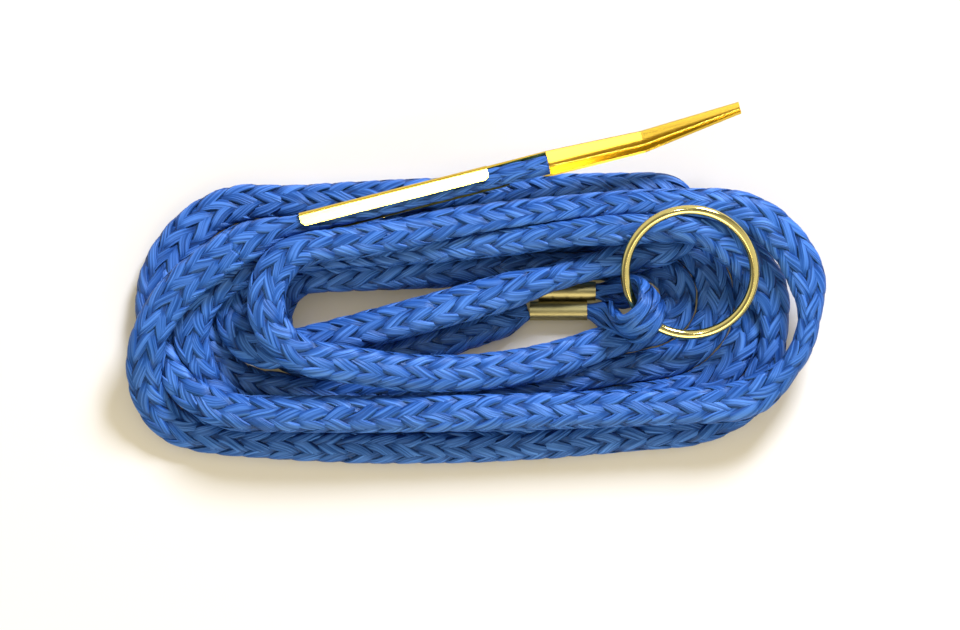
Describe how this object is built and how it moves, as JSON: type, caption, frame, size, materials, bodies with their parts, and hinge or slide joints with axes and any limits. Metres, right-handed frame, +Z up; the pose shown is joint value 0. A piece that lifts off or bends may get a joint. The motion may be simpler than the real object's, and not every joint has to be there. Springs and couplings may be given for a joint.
{
  "type": "fish stringer",
  "caption": "Rope fish stringer: braided cord in a flat hank, a folded metal needle on one end and a ring in a crimped eye on the other.",
  "frame": {"origin": "middle of the part's box, on the surface that the hank lies on", "axes": "+X along the hank towards the ring's end, +Y across it towards the needle's tip, +Z up"},
  "size_m": [0.144, 0.0734, 0.0203],
  "materials": {
    "cord": "hollow braid, slight sheen",
    "needle": "bright plated sheet",
    "ring": "bright polished wire",
    "ferrule": "dull, pressed"
  },
  "bodies": {
    "hank": {"cord_hank": "cord", "cord_lead": "cord", "cord_eye": "cord", "ferrule": "ferrule"},
    "needle": {"needle": "needle", "cord_tip": "cord"},
    "ring": {"ring": "ring"}
  },
  "joints": [
    {"name": "needle_lift", "type": "hinge", "parent": "hank", "child": "needle", "pos_m": [-0.04175, 0.01047, 0.0116], "axis": [0.2419, -0.9703, 0], "range_deg": [0, 90]},
    {"name": "ring_flip", "type": "hinge", "parent": "hank", "child": "ring", "pos_m": [0.03425, -0.00733, 0.0099], "axis": [0.6561, -0.684, -0.319], "range_deg": [0, 120]}
  ]
}
